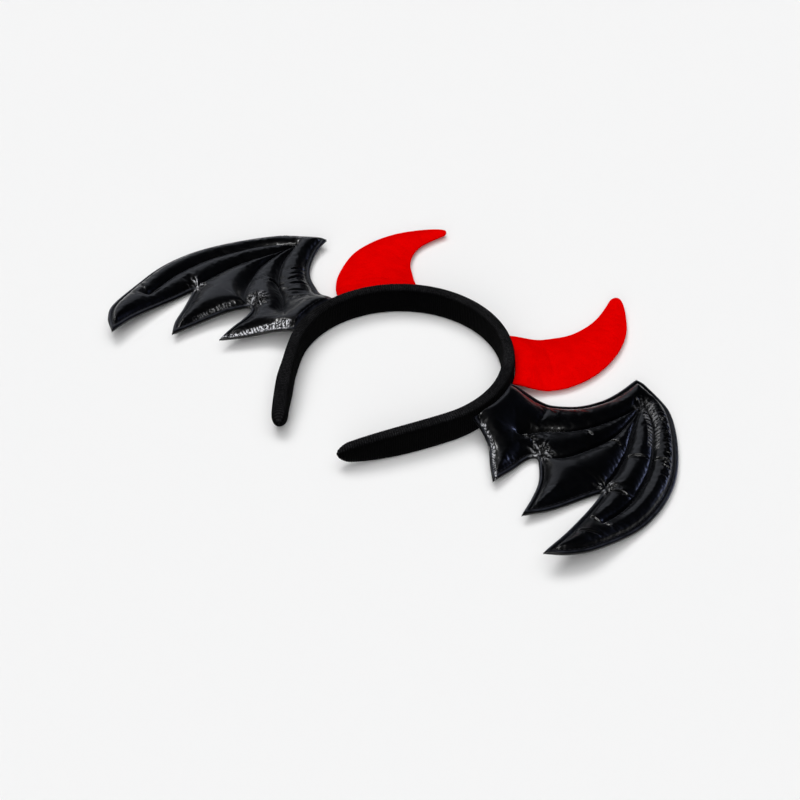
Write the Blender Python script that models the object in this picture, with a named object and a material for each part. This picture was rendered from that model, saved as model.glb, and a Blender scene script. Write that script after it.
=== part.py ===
"""Devil horns headband, lying on its edge on a flat surface.

A padded hair band covered in black ribbed knit carries two flat, lightly padded red felt
horns beside its crown and two quilted, padded wings of black coated fabric below them.
The band stands on its lower edge, the soft horns and wings lie on the same surface, and
each of them is sewn by its root to the outer face of the band.

Axes: +X to the wearer's other side (right in plan), +Y from the ends to the crown, +Z up.
Every piece is drawn about the centre of the band's round part. An empty then carries them
all, so that the origin lies on the surface, under the middle of the whole headband.
"""

import math
from collections import namedtuple

import bmesh
import bpy
import numpy as np
from mathutils import Matrix, Vector
from mathutils.geometry import delaunay_2d_cdt

MM = 0.001

# Headband: a round part from side to side over the crown, then two slightly bowed legs.
BAND_RADIUS = 61.5 * MM
BAND_ROUND_DEG = 117.0
BAND_LEG_RADIUS = 350.0 * MM
BAND_LEG_LENGTH = 64.5 * MM
BAND_HEIGHT = 18.4 * MM
BAND_THICKNESS = 7.6 * MM
BAND_CORNER = 3.0 * MM
BAND_TAPER_LENGTH = 42.0 * MM
BAND_TIP_HEIGHT = 7.0 * MM
BAND_STATION_DEG = 7.5
BAND_LEG_STATIONS = 9
BAND_TIP_STATIONS = 4
CORNER_STEPS = 3

# Clearance left between the band's outer face and what is sewn to it.
SEWN_GAP = 0.3 * MM

# Horns: two layers of felt and a thin filling. Angles are measured from the crown.
HORN_ROOT_DEG = (27.5, 68.4)
HORN_SPREAD = 44.4 * MM
HORN_LENGTH = 87.2 * MM
HORN_EDGE = 1.6 * MM
HORN_PUFF = 2.4 * MM
HORN_PUFF_RUN = 8.0 * MM
HORN_SEAM = 1.6 * MM
HORN_ROOT_SHARE = 0.44
HORN_LIE_HEIGHT = 3.3 * MM
HORN_SINK_RUN = 22.0 * MM
HORN_CELL = 5.5 * MM
HORN_TURN_UP = 0.8
HORN_TURN_OUT = (0.1, 0.6)

# Wings: two layers of coated fabric and wadding, topstitched round the rim.
WING_ROOT_DEG = (73.3, 105.7)
WING_SPAN = 112.0 * MM
WING_LENGTH = 151.5 * MM
WING_DROP = 79.5 * MM
WING_EDGE = 1.2 * MM
WING_RIM = 2.6 * MM
WING_PUFF = 5.0 * MM
WING_PUFF_RUN = 9.0 * MM
WING_ROOT_SHARE = 0.69
WING_LIE_HEIGHT = 3.0 * MM
WING_SINK_RUN = (26.0 * MM, 42.0 * MM)
WING_CELL = 4.8 * MM

# Meshes of the soft pads: rows of points beside each seam, as shares of the cell.
SEAM_ROW_SHARE = 0.5
CLEAR_SHARE = 0.42

# Left and right are sewn by hand and differ a little. The horn: its reach as a share of its
# length, and how far the crown end of its root is turned. The wing: how high the longest
# finger curls up at its tip, and how far the soft waist between the root and the inner
# notch lies towards the crown and stands off the surface.
Side = namedtuple("Side", "name sign horn_reach horn_turn_deg finger_curl waist_shift waist_lift")
SIDES = (
    Side("left", -1.0, 0.966, -2.0, 6.0 * MM, 1.5 * MM, 4.5 * MM),
    Side("right", 1.0, 1.034, 2.0, 9.0 * MM, -3.0 * MM, 0.0 * MM),
)

# Horn outline from the root's crown end round the tip to its other end, as shares of
# HORN_SPREAD outwards and HORN_LENGTH upwards from the middle of the root.
HORN_OUTLINE = (
    # out, up
    (-0.104, 0.300),
    (0.060, 0.382),
    (0.215, 0.475),
    (0.306, 0.590),
    (0.334, 0.720),
    (0.297, 0.855),
    (0.257, 0.955),
    (0.310, 1.000),
    (0.425, 0.972),
    (0.617, 0.862),
    (0.815, 0.715),
    (0.950, 0.540),
    (0.990, 0.350),
    (0.932, 0.170),
    (0.790, 0.005),
    (0.560, -0.125),
)

# Wing outline from the root's upper end round the wing to its lower end, as shares of
# WING_SPAN outwards from the band's face and WING_LENGTH upwards from the longest tip.
WING_OUTLINE = (
    # out, up, kind
    (0.085, 0.679, "bend"),
    (0.192, 0.718, "bend"),
    (0.290, 0.767, "bend"),
    (0.357, 0.835, "bend"),
    (0.402, 0.920, "bend"),
    (0.424, 1.000, "corner"),
    (0.490, 0.993, "bend"),
    (0.665, 0.931, "bend"),
    (0.844, 0.770, "bend"),
    (0.968, 0.592, "bend"),
    (1.000, 0.395, "bend"),
    (0.940, 0.155, "bend"),
    (0.862, 0.056, "bend"),
    (0.759, 0.000, "corner"),
    (0.765, 0.125, "bend"),
    (0.752, 0.270, "bend"),
    (0.719, 0.426, "corner"),
    (0.655, 0.322, "bend"),
    (0.596, 0.222, "bend"),
    (0.527, 0.148, "corner"),
    (0.488, 0.242, "bend"),
    (0.440, 0.333, "bend"),
    (0.385, 0.402, "bend"),
    (0.339, 0.442, "bend"),
    (0.307, 0.405, "bend"),
    (0.300, 0.310, "bend"),
    (0.290, 0.226, "corner"),
    (0.215, 0.280, "bend"),
    (0.130, 0.350, "bend"),
    (0.062, 0.382, "bend"),
)

# Lines of quilting, all from one point below the thumb, in the same shares.
WING_FAN_POINT = (0.540, 0.905)
WING_QUILTING = {
    "long_finger": ((0.665, 0.816), (0.763, 0.698), (0.835, 0.580), (0.869, 0.423), (0.853, 0.272)),
    "outer_notch": ((0.585, 0.797), (0.652, 0.679), (0.701, 0.554), (0.719, 0.426)),
    "inner_notch": ((0.558, 0.790), (0.552, 0.672), (0.478, 0.535), (0.400, 0.462), (0.339, 0.442)),
    "root": ((0.496, 0.784), (0.433, 0.695), (0.362, 0.630), (0.268, 0.574), (0.183, 0.495)),
}

# The tips that curl up off the surface, in the same shares.
WING_TIPS = (
    # name, out, up, lift, run
    ("thumb", 0.424, 1.000, 2.5 * MM, 25.0 * MM),
    ("middle", 0.527, 0.148, 2.5 * MM, 30.0 * MM),
    ("inner", 0.290, 0.226, 2.5 * MM, 25.0 * MM),
)
WING_LONG_TIP = (0.759, 0.000)
WING_CURL_RUN = 58.0 * MM
WING_CURL_START = 0.66
WING_WAIST = (0.310, 0.607)
WING_WAIST_RUN = 58.0 * MM
WING_LIFT_PLACE = (0.360, 0.400)
WING_LIFT_RUN = 42.0 * MM

MATERIALS = {
    # name: (colour, roughness, metallic)
    "black_knit": ((0.006, 0.006, 0.007, 1.0), 0.95, 0.0),
    "red_felt": ((0.70, 0.004, 0.004, 1.0), 0.90, 0.0),
    "black_vinyl": ((0.010, 0.011, 0.014, 1.0), 0.25, 0.0),
}


def clear_scene():
    for item in list(bpy.data.objects):
        bpy.data.objects.remove(item, do_unlink=True)


def make_material(name):
    colour, roughness, metallic = MATERIALS[name]
    material = bpy.data.materials.new(name)
    material.use_nodes = True
    shader = material.node_tree.nodes["Principled BSDF"]
    shader.inputs["Base Color"].default_value = colour
    shader.inputs["Roughness"].default_value = roughness
    shader.inputs["Metallic"].default_value = metallic
    material.diffuse_color = colour
    return material


def ease(share):
    """Smooth step from 0 to 1."""
    share = np.clip(share, 0.0, 1.0)
    return share * share * (3.0 - 2.0 * share)


def swell(share):
    """Quarter-round rise from 0 to 1."""
    share = np.clip(share, 0.0, 1.0)
    return np.sqrt(1.0 - (1.0 - share) ** 2)


def smooth_run(points, step):
    """Points about one step apart on a smooth curve through the given ones."""
    points = [Vector(point) for point in points]
    ends = [2.0 * points[0] - points[1]] + points + [2.0 * points[-1] - points[-2]]
    run = []
    for before, start, stop, after in zip(ends, ends[1:], ends[2:], ends[3:]):
        count = max(1, round((stop - start).length / step))
        for index in range(count):
            t = index / count
            run.append(
                0.5
                * (
                    2.0 * start
                    + (stop - before) * t
                    + (2.0 * before - 5.0 * start + 4.0 * stop - after) * t**2
                    + (3.0 * start - before - 3.0 * stop + after) * t**3
                )
            )
    return run + [points[-1]]


def cornered_run(points, kinds, step):
    """Smooth curve that breaks at each point of kind corner."""
    breaks = [0] + [i for i, kind in enumerate(kinds) if kind == "corner"] + [len(points) - 1]
    run = []
    for first, last in zip(breaks, breaks[1:]):
        run += smooth_run(points[first : last + 1], step)[:-1]
    return run + [Vector(points[-1])]


def distance_to_lines(places, lines):
    """Distance from each place to the nearest of the polylines."""
    places = np.asarray(places)
    nearest = np.full(len(places), np.inf)
    for line in lines:
        line = np.asarray([tuple(point) for point in line])
        for start, stop in zip(line, line[1:]):
            along = stop - start
            share = ((places - start) @ along) / max(along @ along, 1e-18)
            foot = start + np.clip(share, 0.0, 1.0)[:, None] * along
            nearest = np.minimum(nearest, np.hypot(*(places - foot).T))
    return nearest


def inside(places, outline):
    """True for each place that lies inside the closed outline."""
    places = np.asarray(places)
    outline = np.asarray([tuple(point) for point in outline])
    result = np.zeros(len(places), bool)
    for start, stop in zip(outline, np.roll(outline, -1, axis=0)):
        crosses = (start[1] > places[:, 1]) != (stop[1] > places[:, 1])
        rise = stop[1] - start[1] if stop[1] != start[1] else 1e-18
        at = start[0] + (places[:, 1] - start[1]) / rise * (stop[0] - start[0])
        result ^= crosses & (places[:, 0] < at)
    return result


def band_station(distance):
    """Plan point and outward normal of the band's middle line, measured from the crown."""
    side = -1.0 if distance < 0.0 else 1.0
    distance = abs(distance)
    round_length = BAND_RADIUS * math.radians(BAND_ROUND_DEG)
    angle = min(distance, round_length) / BAND_RADIUS
    x = BAND_RADIUS * math.sin(angle)
    y = BAND_RADIUS * math.cos(angle)
    if distance > round_length:
        bow = (distance - round_length) / BAND_LEG_RADIUS
        x += BAND_LEG_RADIUS * (math.sin(angle + bow) - math.sin(angle))
        y += BAND_LEG_RADIUS * (math.cos(angle + bow) - math.cos(angle))
        angle += bow
    return Vector((side * x, y)), Vector((side * math.sin(angle), math.cos(angle)))


def band_face(angle_deg):
    """Plan point where a piece is sewn to the band's outer face, its clearance included."""
    point, normal = band_station(BAND_RADIUS * math.radians(angle_deg))
    return point + normal * (BAND_THICKNESS / 2.0 + SEWN_GAP)


def band_section(height, thickness):
    """Rounded rectangle, across the band and up, as (across, up) pairs."""
    corner = min(BAND_CORNER, 0.45 * thickness, 0.45 * height)
    centres = (
        (thickness / 2.0 - corner, height / 2.0 - corner, 0.0),
        (corner - thickness / 2.0, height / 2.0 - corner, 90.0),
        (corner - thickness / 2.0, corner - height / 2.0, 180.0),
        (thickness / 2.0 - corner, corner - height / 2.0, 270.0),
    )
    pairs = []
    for across, up, start in centres:
        for step in range(CORNER_STEPS + 1):
            turn = math.radians(start + 90.0 * step / CORNER_STEPS)
            pairs.append((across + corner * math.cos(turn), up + corner * math.sin(turn)))
    return pairs


def band_distances():
    """Where the sections stand, from the left tip over the crown to the right tip."""
    round_length = BAND_RADIUS * math.radians(BAND_ROUND_DEG)
    straight = BAND_LEG_LENGTH - BAND_THICKNESS / 2.0
    count = round(BAND_ROUND_DEG / BAND_STATION_DEG)
    half = [round_length * i / count for i in range(count)]
    half += [round_length + straight * i / BAND_LEG_STATIONS for i in range(BAND_LEG_STATIONS)]
    for step in range(BAND_TIP_STATIONS + 1):
        turn = math.radians(80.0 * step / BAND_TIP_STATIONS)
        half.append(round_length + straight + BAND_THICKNESS / 2.0 * math.sin(turn))
    return [-distance for distance in reversed(half[1:])] + half


def make_headband():
    """Loft of rounded sections that taper in height towards both tips and close round."""
    total = BAND_RADIUS * math.radians(BAND_ROUND_DEG) + BAND_LEG_LENGTH
    shape = bmesh.new()
    rings = []
    for distance in band_distances():
        left = total - abs(distance)
        height = BAND_TIP_HEIGHT + (BAND_HEIGHT - BAND_TIP_HEIGHT) * swell(left / BAND_TAPER_LENGTH)
        closing = swell(left / (BAND_THICKNESS / 2.0))
        point, normal = band_station(distance)
        ring = []
        for across, up in band_section(height * closing, BAND_THICKNESS * closing):
            place = point + normal * across
            ring.append(shape.verts.new((place.x, place.y, BAND_HEIGHT / 2.0 + up)))
        rings.append(ring)
    for ring, following in zip(rings, rings[1:]):
        for i in range(len(ring)):
            j = (i + 1) % len(ring)
            shape.faces.new((ring[i], ring[j], following[j], following[i]))
    shape.faces.new(list(reversed(rings[0])))
    shape.faces.new(rings[-1])
    return finish_mesh(shape, "headband")


def lattice(outline, cell):
    """Triangular grid of places over the outline's box."""
    outline = np.asarray([tuple(point) for point in outline])
    low = outline.min(axis=0)
    high = outline.max(axis=0)
    places = []
    row_height = cell * math.sqrt(3.0) / 2.0
    for row in range(math.ceil((high[1] - low[1]) / row_height) + 1):
        shift = cell / 2.0 if row % 2 else 0.0
        for column in range(math.ceil((high[0] - low[0]) / cell) + 1):
            places.append((low[0] + column * cell + shift, low[1] + row * row_height))
    return np.asarray(places)


def beside(line, offset):
    """Points on both sides of a line, each a fixed distance from its own point."""
    rows = []
    for before, point, after in zip([line[0]] + line, line, line[1:] + [line[-1]]):
        along = (after - before).normalized()
        across = Vector((-along.y, along.x)) * offset
        rows += [tuple(point + across), tuple(point - across)]
    return np.asarray(rows)


def pad_places(outline, quilting, rim, cell):
    """Places inside a pad's outline: rows beside its seams and a grid between them."""
    closed = outline + [outline[0]]
    row = SEAM_ROW_SHARE * cell
    groups = [(beside(closed, rim), rim), (beside(closed, rim + row), rim + row)]
    groups += [(beside(line, row), rim + row) for line in quilting]
    groups.append((lattice(outline, cell), rim + row + CLEAR_SHARE * cell))
    kept = np.empty((0, 2))
    for number, (group, margin) in enumerate(groups):
        group = group[inside(group, outline)]
        group = group[distance_to_lines(group, [closed]) > 0.97 * margin]
        if quilting and number > 0:
            beside_quilt = row if number < len(groups) - 1 else row + CLEAR_SHARE * cell
            group = group[distance_to_lines(group, quilting) > 0.97 * beside_quilt]
        for place in group:
            if not len(kept) or np.hypot(*(kept - place).T).min() > CLEAR_SHARE * cell:
                kept = np.vstack([kept, place])
    return kept


def make_pad(name, outline, quilting, rim, heights, cell):
    """Closed pad: a plan outline meshed between its seams, with a top and an underside.

    The two skins meet an edge's thickness apart at the outline. heights gives the top and
    the underside for plan places and their distances to the nearest seam.
    """
    points = list(outline)
    edges = []
    for line in quilting:
        first = len(points)
        points += line
        edges += [(first + i, first + i + 1) for i in range(len(line) - 1)]
    points += [Vector(place) for place in pad_places(outline, quilting, rim, cell)]
    face = list(range(len(outline)))
    flat, _, triangles = delaunay_2d_cdt(points, edges, [face], 1, 1e-6)[:3]

    places = np.asarray([tuple(point) for point in flat])
    from_rim = distance_to_lines(places, [outline + [outline[0]]]) - rim
    from_quilt = distance_to_lines(places, quilting) if quilting else from_rim
    clear = np.maximum(0.0, np.minimum(from_rim, from_quilt))
    top, underside = heights(places, clear)

    shape = bmesh.new()
    upper = [shape.verts.new((p[0], p[1], z)) for p, z in zip(places, top)]
    lower = [shape.verts.new((p[0], p[1], z)) for p, z in zip(places, underside)]
    border = set()
    for triangle in triangles:
        a, b, c = (places[i] for i in triangle)
        area = (b[0] - a[0]) * (c[1] - a[1]) - (b[1] - a[1]) * (c[0] - a[0])
        i, j, k = triangle if area > 0.0 else reversed(triangle)
        shape.faces.new((upper[i], upper[j], upper[k]))
        shape.faces.new((lower[k], lower[j], lower[i]))
        for edge in ((i, j), (j, k), (k, i)):
            border ^= {edge if edge[::-1] not in border else edge[::-1]}
    for i, j in border:
        shape.faces.new((upper[j], upper[i], lower[i], lower[j]))
    return finish_mesh(shape, name)


def finish_mesh(shape, name):
    loose = [vert for vert in shape.verts if not vert.link_faces]
    bmesh.ops.delete(shape, geom=loose, context="VERTS")
    bmesh.ops.recalc_face_normals(shape, faces=shape.faces)
    mesh = bpy.data.meshes.new(name)
    shape.to_mesh(mesh)
    shape.free()
    mesh.shade_smooth()
    mesh.set_sharp_from_angle(angle=math.radians(50.0))
    return mesh


def root_run(angles, step):
    """Curve along the band's outer face, from the higher of the two angles to the lower."""
    reach = BAND_RADIUS * math.radians(angles[1] - angles[0])
    count = max(2, round(reach / step))
    return [band_face(angles[1] + (angles[0] - angles[1]) * i / count) for i in range(count + 1)]


def from_band(places):
    """Distance in plan from the band's sewn face, for places on the right-hand side."""
    return np.hypot(*places.T) - (BAND_RADIUS + BAND_THICKNESS / 2.0 + SEWN_GAP)


def horn_plan(side):
    """Closed outline of the horn, drawn on the right-hand side."""
    middle = band_face(sum(HORN_ROOT_DEG) / 2.0)
    step = 0.75 * HORN_CELL
    root_angles = (HORN_ROOT_DEG[0] + side.horn_turn_deg, HORN_ROOT_DEG[1])
    points = [band_face(root_angles[0])]
    for out, up in HORN_OUTLINE:
        stretch = 1.0 + (side.horn_reach - 1.0) * float(ease(up))
        point = middle + Vector((out * HORN_SPREAD, up * stretch * HORN_LENGTH))
        near_crown = (HORN_TURN_OUT[1] - out) / (HORN_TURN_OUT[1] - HORN_TURN_OUT[0])
        share = float(ease(1.0 - up / HORN_TURN_UP) * ease(near_crown))
        points.append(Matrix.Rotation(-math.radians(side.horn_turn_deg) * share, 2) @ point)
    points.append(band_face(root_angles[1]))
    return smooth_run(points, step)[:-1] + root_run(root_angles, step)[:-1]


def horn_heights(places, clear):
    sink = ease(1.0 - from_band(places) / HORN_SINK_RUN)
    root_height = HORN_ROOT_SHARE * BAND_HEIGHT
    middle = HORN_LIE_HEIGHT + (root_height - HORN_LIE_HEIGHT) * sink
    half = HORN_EDGE / 2.0 + HORN_PUFF * swell(clear / HORN_PUFF_RUN)
    return middle + half, np.maximum(middle - half, 0.0)


def make_horn(side):
    plan = horn_plan(side)
    mesh = make_pad(f"horn_{side.name}", plan, [], HORN_SEAM, horn_heights, HORN_CELL)
    return mirror_if_left(mesh, side)


def wing_place(side, out, up, shifted=True):
    """Plan point of a pair of shares of the wing, drawn on the right-hand side."""
    face = BAND_RADIUS + BAND_THICKNESS / 2.0 + SEWN_GAP
    point = Vector((face + out * WING_SPAN, up * WING_LENGTH - WING_DROP))
    if shifted:
        away = (point - wing_place(side, *WING_WAIST, False)).length
        point.y += side.waist_shift * float(ease(1.0 - away / WING_WAIST_RUN))
    return point


def wing_plan(side):
    """Closed outline of the wing, drawn on the right-hand side."""
    step = 0.8 * WING_CELL
    points = [band_face(WING_ROOT_DEG[0])]
    points += [wing_place(side, out, up) for out, up, _ in WING_OUTLINE]
    points.append(band_face(WING_ROOT_DEG[1]))
    kinds = ["end"] + [kind for _, _, kind in WING_OUTLINE] + ["end"]
    return cornered_run(points, kinds, step)[:-1] + root_run(WING_ROOT_DEG, step)[:-1]


def wing_quilting(side):
    """Stitched lines that fan out over the wing, drawn on the right-hand side."""
    step = 0.8 * WING_CELL
    lines = []
    for shares in WING_QUILTING.values():
        pairs = (WING_FAN_POINT,) + shares
        lines.append(smooth_run([wing_place(side, *pair) for pair in pairs], step))
    return lines


def wing_heights(side):
    """Function that gives the top and the underside of this side's wing."""

    def hump(places, spot, run):
        away = np.hypot(*(places - np.asarray(wing_place(side, *spot))).T)
        return ease(1.0 - away / run)

    def heights(places, clear):
        towards_legs = ease(-places[:, 1] / WING_SINK_RUN[1])
        run = WING_SINK_RUN[0] + (WING_SINK_RUN[1] - WING_SINK_RUN[0]) * towards_legs
        root_height = WING_ROOT_SHARE * BAND_HEIGHT
        sink = ease(1.0 - from_band(places) / run)
        middle = WING_LIE_HEIGHT + (root_height - WING_LIE_HEIGHT) * sink
        middle = middle + side.waist_lift * (1.0 - sink) * hump(places, WING_LIFT_PLACE, WING_LIFT_RUN)
        for _, out, up, lift, reach in WING_TIPS:
            middle = middle + lift * hump(places, (out, up), reach)
        tip = wing_place(side, *WING_LONG_TIP)
        start = wing_place(side, WING_CURL_START, 0.0)
        along = ease(1.0 - (places[:, 1] - tip.y) / WING_CURL_RUN)
        outer = ease((places[:, 0] - start.x) / (tip.x - start.x))
        middle = middle + side.finger_curl * along * outer
        half = WING_EDGE / 2.0 + WING_PUFF * swell(clear / WING_PUFF_RUN)
        return middle + half, np.maximum(middle - half, 0.0)

    return heights


def make_wing(side):
    plan = wing_plan(side)
    quilting = wing_quilting(side)
    mesh = make_pad(f"wing_{side.name}", plan, quilting, WING_RIM, wing_heights(side), WING_CELL)
    return mirror_if_left(mesh, side)


def mirror_if_left(mesh, side):
    if side.sign < 0.0:
        mesh.transform(Matrix.Scale(-1.0, 4, Vector((1.0, 0.0, 0.0))))
        mesh.flip_normals()
    return mesh


def add_piece(mesh, material, collection, carrier):
    piece = bpy.data.objects.new(mesh.name, mesh)
    mesh.materials.append(material)
    collection.objects.link(piece)
    piece.parent = carrier
    return piece


def centre_on_surface(carrier, pieces):
    """Moves the carrier so that the origin is under the middle of all the pieces."""
    corners = np.asarray([tuple(vert.co) for piece in pieces for vert in piece.data.vertices])
    low = corners.min(axis=0)
    high = corners.max(axis=0)
    carrier.location = (-(low[0] + high[0]) / 2.0, -(low[1] + high[1]) / 2.0, -low[2])


clear_scene()
parts = bpy.data.collections.new("devil_horns_headband")
bpy.context.scene.collection.children.link(parts)
band_centre = bpy.data.objects.new("band_centre", None)
parts.objects.link(band_centre)

knit = make_material("black_knit")
felt = make_material("red_felt")
vinyl = make_material("black_vinyl")

built = [add_piece(make_headband(), knit, parts, band_centre)]
for side in SIDES:
    built.append(add_piece(make_horn(side), felt, parts, band_centre))
    built.append(add_piece(make_wing(side), vinyl, parts, band_centre))
centre_on_surface(band_centre, built)
bpy.context.view_layer.update()
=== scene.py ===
"""Devil horns headband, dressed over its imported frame.

Lengths are in metres. Plan places are drawn about the centre of the band's round part, on
the wearer's right-hand side, and turned over for the left.
"""

import math
from collections import namedtuple

import bmesh
import bpy
import numpy as np
from mathutils import Matrix, Vector
from mathutils.bvhtree import BVHTree
from mathutils.geometry import delaunay_2d_cdt


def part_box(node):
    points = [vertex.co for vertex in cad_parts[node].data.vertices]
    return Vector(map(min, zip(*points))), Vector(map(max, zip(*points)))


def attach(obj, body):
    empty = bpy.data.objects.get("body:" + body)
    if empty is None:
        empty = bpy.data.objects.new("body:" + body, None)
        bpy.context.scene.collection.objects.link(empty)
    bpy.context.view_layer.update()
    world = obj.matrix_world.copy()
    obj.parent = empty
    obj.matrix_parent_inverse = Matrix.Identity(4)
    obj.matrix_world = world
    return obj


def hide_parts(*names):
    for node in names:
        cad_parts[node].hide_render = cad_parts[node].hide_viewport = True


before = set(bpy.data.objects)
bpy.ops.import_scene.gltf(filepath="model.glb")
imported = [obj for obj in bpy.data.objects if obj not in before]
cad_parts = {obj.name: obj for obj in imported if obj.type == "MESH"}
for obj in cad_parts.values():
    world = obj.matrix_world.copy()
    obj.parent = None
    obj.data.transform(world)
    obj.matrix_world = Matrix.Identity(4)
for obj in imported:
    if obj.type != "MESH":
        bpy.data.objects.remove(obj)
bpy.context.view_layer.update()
MM = 0.001


# Studio: a pale floor and backdrop under an even soft sky, with a broad key from the left and
# a fill from the front, all kept out of the gloss. The sheen and the glints of the wings come
# from two softboxes on the left, a strip in front and a low blue strip behind on the right,
# and the whitest glints on the crests of their folds are painted highlights in their colour.
CAMERA_PLACE = (456.8 * MM, -622.7 * MM, 620.9 * MM)
CAMERA_BACK = (0.4628, -0.6049, 0.6480)
CAMERA_LENS = 76.5
CAMERA_SENSOR = 36.0
CAMERA_CLIP = 10.0 * MM
FLOOR_COLOUR = (0.87, 0.87, 0.87, 1.0)
FLOOR_HALF = 40.0
BACKDROP_RADIUS = 30.0
BACKDROP_HEIGHT = 12.0
BACKDROP_SIDES = 96
BACKDROP_COLOUR = (0.91, 0.91, 0.91, 1.0)
BLACK = (0.0, 0.0, 0.0, 1.0)
EVEN_LIGHTS = (
    # name, heading, strength, width in degrees
    ("key", (-0.55, 0.26, 1.25), 1.00, 34.0),
    ("fill", (0.42, -0.80, 0.52), 1.64, 50.0),
    ("sky", (0.0, 0.0, 1.0), 1.57, 80.0),
)
ROOM_COLOUR = (0.009, 0.0095, 0.011, 1.0)
SOFTBOXES = (
    # name, place, aim, width, height, radiance, colour
    ("back_softbox", (-0.88, 0.60, 0.56), (-0.12, 0.0, 0.0), 0.95, 0.85, 0.62, (0.84, 0.88, 1.0)),
    ("front_strip", (0.42, -1.05, 1.00), (0.0, 0.0, 0.0), 0.70, 0.20, 22.0, (1.0, 1.0, 1.0)),
    ("left_softbox", (-1.22, -0.30, 0.80), (0.0, 0.0, 0.0), 0.36, 0.36, 22.0, (1.0, 1.0, 1.0)),
    ("low_strip", (0.62, 1.05, 0.22), (0.10, 0.0, 0.0), 0.50, 0.16, 7.0, (0.50, 0.58, 1.0)),
)


def put(name, data):
    """New object in the scene."""
    piece = bpy.data.objects.new(name, data)
    bpy.context.scene.collection.objects.link(piece)
    return piece


def set_fields(item, **fields):
    for field, value in fields.items():
        setattr(item, field, value)


def feed(tree, node, inputs):
    """Gives a node its inputs, each a socket to link or a value to set."""
    for label, value in inputs.items():
        if isinstance(value, bpy.types.NodeSocket):
            tree.links.new(value, node.inputs[label])
        elif value is not None:
            node.inputs[label].default_value = value


def new_material(name):
    material = bpy.data.materials.new(name)
    material.use_nodes = True
    return material, material.node_tree


def finish_material(material, inputs):
    """Gives the material's shader its inputs."""
    feed(material.node_tree, material.node_tree.nodes["Principled BSDF"], inputs)
    return material


def hang_light(name, kind, aim_from, aim_at):
    lamp = put(name, bpy.data.lights.new(name, kind))
    lamp.location = aim_from
    lamp.rotation_euler = (Vector(aim_from) - Vector(aim_at)).to_track_quat("Z", "Y").to_euler()
    return lamp


def as_mesh(name, shape):
    mesh = bpy.data.meshes.new(name)
    shape.to_mesh(mesh)
    shape.free()
    return mesh


def hang_paper(name, shape, inputs):
    """Surface of the studio in its own plain paper."""
    mesh = as_mesh(name, shape)
    paper, _ = new_material(f"{name}_paper")
    mesh.materials.append(finish_material(paper, inputs))
    return put(name, mesh)


camera = put("camera", bpy.data.cameras.new("camera"))
set_fields(camera.data, lens=CAMERA_LENS, sensor_width=CAMERA_SENSOR, sensor_fit="HORIZONTAL")
camera.data.clip_start = CAMERA_CLIP
camera.location = CAMERA_PLACE
camera.rotation_euler = Vector(CAMERA_BACK).to_track_quat("Z", "Y").to_euler()
bpy.context.scene.camera = camera
set_fields(bpy.context.scene.view_settings, view_transform="Standard", look="None")

room = bpy.data.worlds.new("room")
room.use_nodes = True
feed(room.node_tree, room.node_tree.nodes["Background"], {"Color": ROOM_COLOUR})
bpy.context.scene.world = room

for name, heading, strength, width_deg in EVEN_LIGHTS:
    sun = hang_light(name, "SUN", heading, (0.0, 0.0, 0.0))
    set_fields(sun.data, energy=strength, angle=math.radians(width_deg))
    sun.visible_glossy = False
for name, place, aim, width, height, radiance, colour in SOFTBOXES:
    softbox = hang_light(name, "AREA", place, aim)
    set_fields(softbox.data, shape="RECTANGLE", size=width, size_y=height, color=colour)
    softbox.data.energy = radiance * math.pi * width * height
    softbox.visible_diffuse = False

shape = bmesh.new()
bmesh.ops.create_grid(shape, x_segments=1, y_segments=1, size=FLOOR_HALF)
floor = hang_paper(
    "floor", shape, {"Base Color": FLOOR_COLOUR, "Roughness": 1.0, "Specular IOR Level": 0.0}
)

shape = bmesh.new()
bmesh.ops.create_cone(
    shape,
    cap_ends=False,
    segments=BACKDROP_SIDES,
    radius1=BACKDROP_RADIUS,
    radius2=BACKDROP_RADIUS,
    depth=BACKDROP_HEIGHT,
)
glow = {"Emission Color": BACKDROP_COLOUR, "Emission Strength": 1.0}
backdrop = hang_paper("backdrop", shape, {"Base Color": BLACK, "Specular IOR Level": 0.0, **glow})
set_fields(backdrop, visible_diffuse=False, visible_glossy=False, visible_shadow=False)


# Headband: a springy core wrapped in thin padding and covered with black ribbed knit. The
# cover is one closed sleeve, lofted along the band; its ribs run across the width and are
# raised by a Geometry Nodes tree that follows the distance along the sleeve.
BAND_RADIUS = 61.5 * MM
BAND_ROUND_DEG = 117.0
BAND_LEG_RADIUS = 350.0 * MM
BAND_LEG_LENGTH = 64.5 * MM
BAND_HEIGHT = 18.4 * MM
BAND_THICKNESS = 7.6 * MM
BAND_TAPER_LENGTH = 42.0 * MM
BAND_TIP_HEIGHT = 7.0 * MM
BAND_SQUARENESS = (3.2, 4.6)
BAND_TIP_ROUNDNESS = 2.0
BAND_TIP_RUN = 7.5 * MM
BAND_TIP_GAP = 0.05 * MM
BAND_RING_POINTS = 40
# How much fuller or slimmer each leg is padded near its end than the round part.
LEG_FULLNESS = {-1.0: 1.22, 1.0: 0.95}
LEG_FULL_PLACE = 20.0 * MM
RIB_PITCH = 1.3 * MM
RIB_DEPTH = 0.30 * MM
RIB_WAVER = 0.16
RIB_SAMPLES = 6
SEWN_GAP = 0.3 * MM
# How far round the sleeve's face has to turn towards its top or bottom edge before its fuzz is
# painted paler, a painted light on the band's top, and over how much it grows.
PAINTED_LIGHT_START = 0.60
PAINTED_LIGHT_RUN = 0.25
KNIT_COLOUR = (0.0002, 0.0002, 0.0003, 1.0)
KNIT_FUZZ = (0.050, 0.050, 0.054, 1.0)

band_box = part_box("headband")
BAND_CENTRE = Vector((0.0, band_box[1][1] - BAND_RADIUS - BAND_THICKNESS / 2.0, 0.0))
ROUND_LENGTH = BAND_RADIUS * math.radians(BAND_ROUND_DEG)
HALF_BAND = ROUND_LENGTH + BAND_LEG_LENGTH
SEWN_RADIUS = BAND_RADIUS + BAND_THICKNESS / 2.0 + SEWN_GAP


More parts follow.
